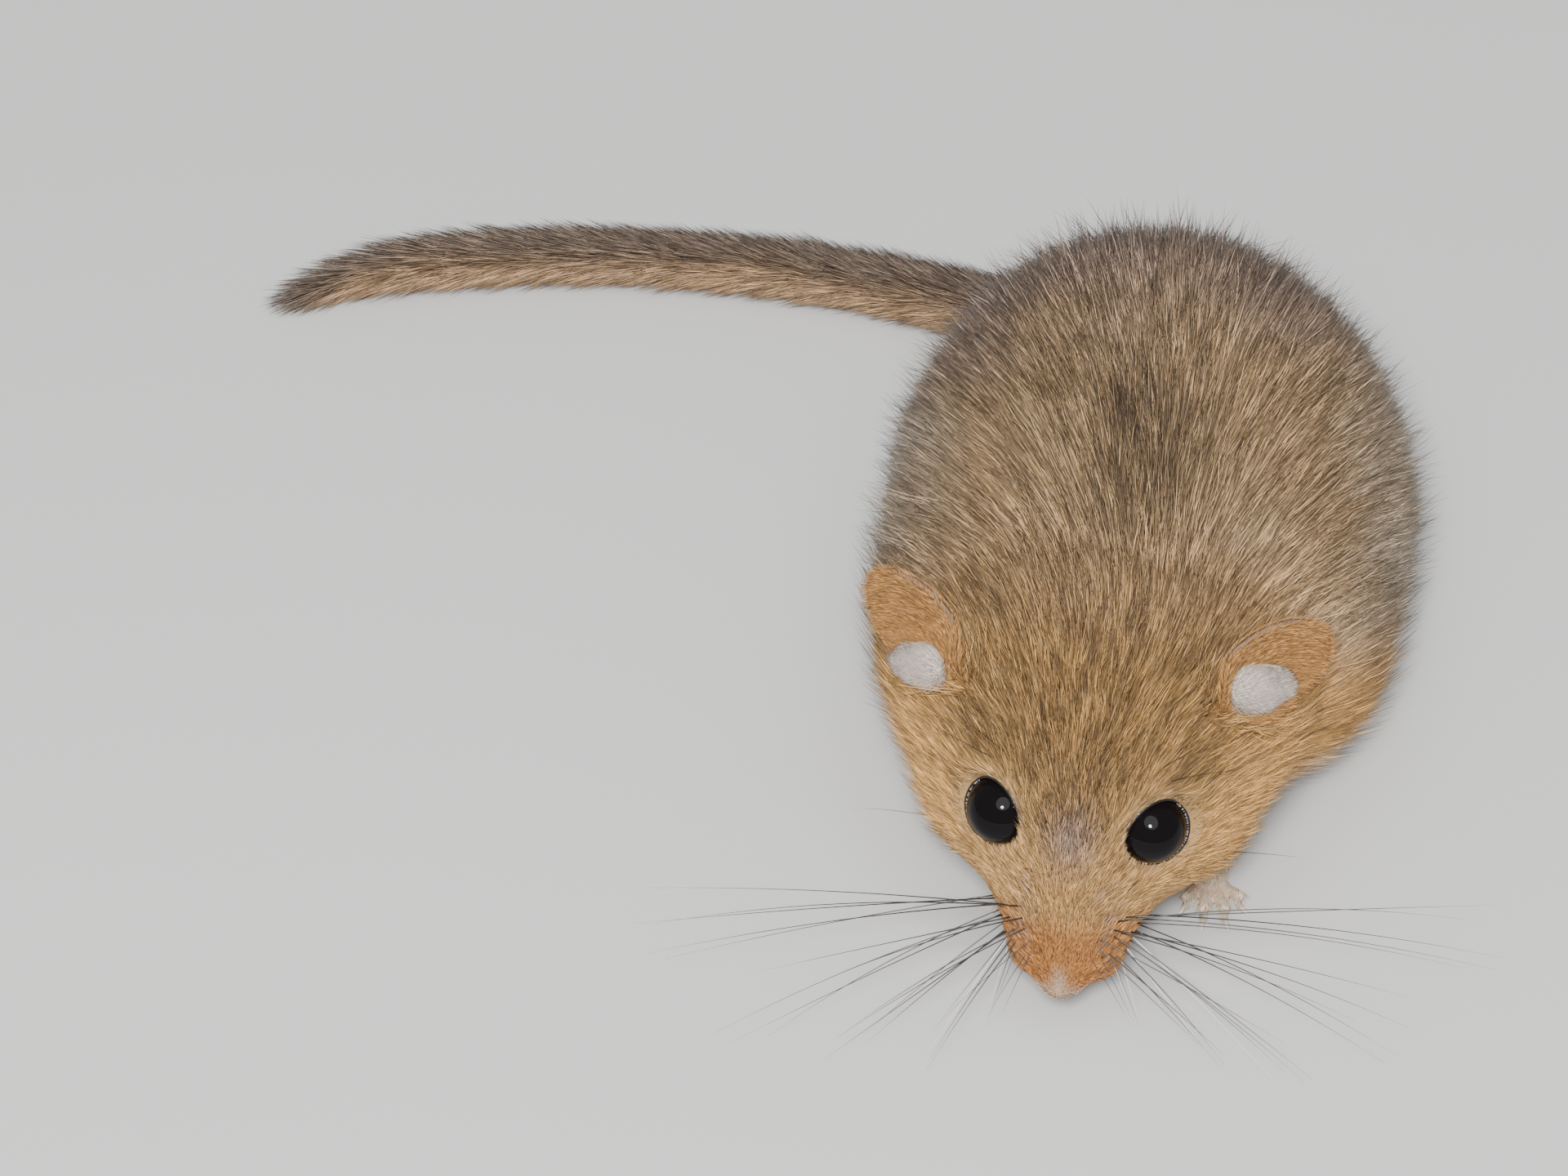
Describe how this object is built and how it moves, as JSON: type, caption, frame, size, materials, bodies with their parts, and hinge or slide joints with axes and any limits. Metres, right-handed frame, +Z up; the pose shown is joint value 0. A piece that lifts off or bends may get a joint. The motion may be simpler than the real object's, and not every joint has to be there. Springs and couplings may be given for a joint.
{
  "type": "hazel dormouse",
  "caption": "Life-size crouching dormouse as a still museum-like model, head held low and bushy tail laid out to one side.",
  "frame": {"origin": "middle of the whole model's box, at the floor", "axes": "+Z up, head toward -Y, tail laid out toward -X"},
  "size_m": [0.0796, 0.0746, 0.0317],
  "materials": {
    "crown": "short dense fur, golden brown with dark tips",
    "back": "dense fur, grizzled brown and ochre",
    "flank": "dense fur, tan to cream",
    "tail_coat": "bushy fur, grey-brown above and buff below",
    "ear_skin": "thin skin with short orange fur",
    "bare_skin": "bare pink skin, slightly moist",
    "eye_black": "wet, glossy black"
  },
  "bodies": {
    "root": {"head": "crown", "nose": "bare_skin", "eye_left": "eye_black", "eye_right": "eye_black", "ear_left": "ear_skin", "ear_right": "ear_skin", "neck": "crown", "torso": "back", "thigh_left": "flank", "thigh_right": "flank", "foreleg_left": "flank", "foreleg_right": "flank", "forefoot_left": "bare_skin", "forefoot_right": "bare_skin", "hind_foot_left": "bare_skin", "hind_foot_right": "bare_skin", "tail_1": "tail_coat", "tail_2": "tail_coat", "tail_3": "tail_coat", "tail_4": "tail_coat", "tail_5": "tail_coat"}
  },
  "joints": []
}
